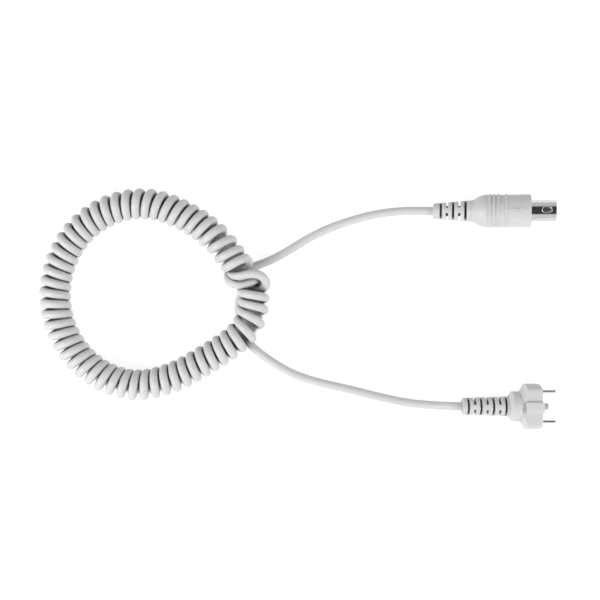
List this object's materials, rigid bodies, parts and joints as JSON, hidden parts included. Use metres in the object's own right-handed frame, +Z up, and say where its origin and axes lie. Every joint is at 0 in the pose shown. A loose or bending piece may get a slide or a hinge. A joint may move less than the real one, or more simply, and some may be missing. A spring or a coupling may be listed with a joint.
{
  "type": "curly handpiece cord with two plugs",
  "caption": "Curly connecting cord of a dental micromotor handpiece, lying in a loose loop, with a round shell plug on one end and a flat-sided plug with pins on the other.",
  "frame": {"origin": "middle of the two plugs' footprint, on the surface that the cord set lies on", "axes": "+X from each plug's strain-relief boot to its contacts, +Y from the motor plug to the DIN plug, +Z up from the surface"},
  "size_m": [0.3209, 0.1491, 0.0254],
  "materials": {
    "cord_jacket": "satin flexible PVC jacket, light neutral grey",
    "boot_pvc": "soft moulded PVC, satin light grey",
    "cover_plastic": "fine-textured moulded plastic, light grey",
    "housing_plastic": "fine-textured moulded plastic, light grey",
    "carrier_plastic": "moulded insulating plastic, light grey",
    "insulator_plastic": "moulded insulating plastic, black",
    "shell_plating": "bright nickel plate on drawn steel",
    "pin_plating": "nickel-plated brass",
    "inner_steel": "tinned sheet steel",
    "clamp_plastic": "moulded plastic",
    "core_insulation_dark": "PVC wire insulation",
    "core_insulation_light": "PVC wire insulation"
  },
  "bodies": {
    "cord": {"coil": "cord_jacket", "din_lead": "cord_jacket", "motor_lead": "cord_jacket"},
    "din_plug": {"din_boot": "boot_pvc", "din_can_lower": "inner_steel", "din_can_upper": "inner_steel", "din_cord_crimp": "inner_steel", "din_cord_end": "cord_jacket", "din_core_1": "core_insulation_dark", "din_core_2": "core_insulation_light", "din_cover": "cover_plastic", "din_insulator": "insulator_plastic", "din_pin_1": "pin_plating", "din_pin_2": "pin_plating", "din_pin_3": "pin_plating", "din_shell": "shell_plating"},
    "motor_plug": {"motor_boot": "boot_pvc", "motor_carrier": "carrier_plastic", "motor_cord_clamp": "clamp_plastic", "motor_cord_end": "cord_jacket", "motor_core_1": "core_insulation_dark", "motor_core_2": "core_insulation_light", "motor_housing": "housing_plastic", "motor_pin_lower": "pin_plating", "motor_pin_upper": "pin_plating"}
  },
  "joints": [
    {"name": "din_boot_flex", "type": "hinge", "parent": "cord", "child": "din_plug", "pos_m": [-0.02639, 0.06279, 0.0067], "axis": [0, 0, 1], "range_deg": [-30, 30], "stiffness_Nm_per_rad": 0.06, "deforming": ["din_boot"]},
    {"name": "motor_boot_flex", "type": "hinge", "parent": "cord", "child": "motor_plug", "pos_m": [-0.0071, -0.0588, 0.0093], "axis": [0, 0, 1], "range_deg": [-30, 30], "stiffness_Nm_per_rad": 0.06, "deforming": ["motor_boot"]}
  ]
}
